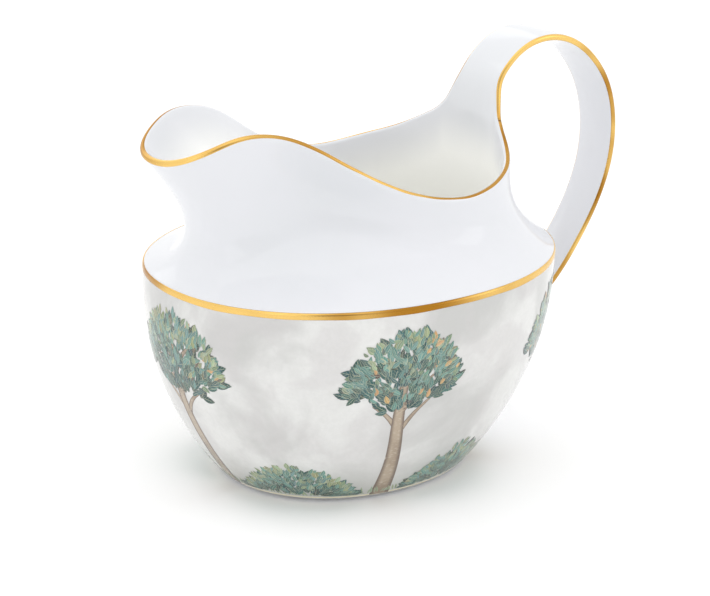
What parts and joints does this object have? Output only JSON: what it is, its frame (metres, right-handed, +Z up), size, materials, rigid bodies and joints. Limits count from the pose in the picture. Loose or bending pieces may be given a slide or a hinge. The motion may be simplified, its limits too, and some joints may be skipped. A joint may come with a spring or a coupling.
{
  "type": "cream jug",
  "caption": "Oval glazed bone-china cream jug with a rolled pouring spout, looped strap handle, gilded edges and a woodland band around the bowl.",
  "frame": {"origin": "on the table, under the middle of the jug's overall length and width", "axes": "+Z up, +X towards the handle, -X towards the spout, +Y and -Y the two like sides"},
  "size_m": [0.1298, 0.0854, 0.0962],
  "materials": {
    "china": "glossy white glaze over bone china",
    "bare_china": "polished unglazed foot",
    "gilding": "burnished fired gold",
    "transfer": "printed transfer fired into the glaze, watercolour woodland"
  },
  "bodies": {
    "root": {"body": "china", "foot_ring": "bare_china", "handle": "china", "gilt_rim": "gilding", "gilt_shoulder": "gilding", "gilt_handle_left": "gilding", "gilt_handle_right": "gilding", "transfer_left": "transfer", "transfer_right": "transfer"}
  },
  "joints": []
}
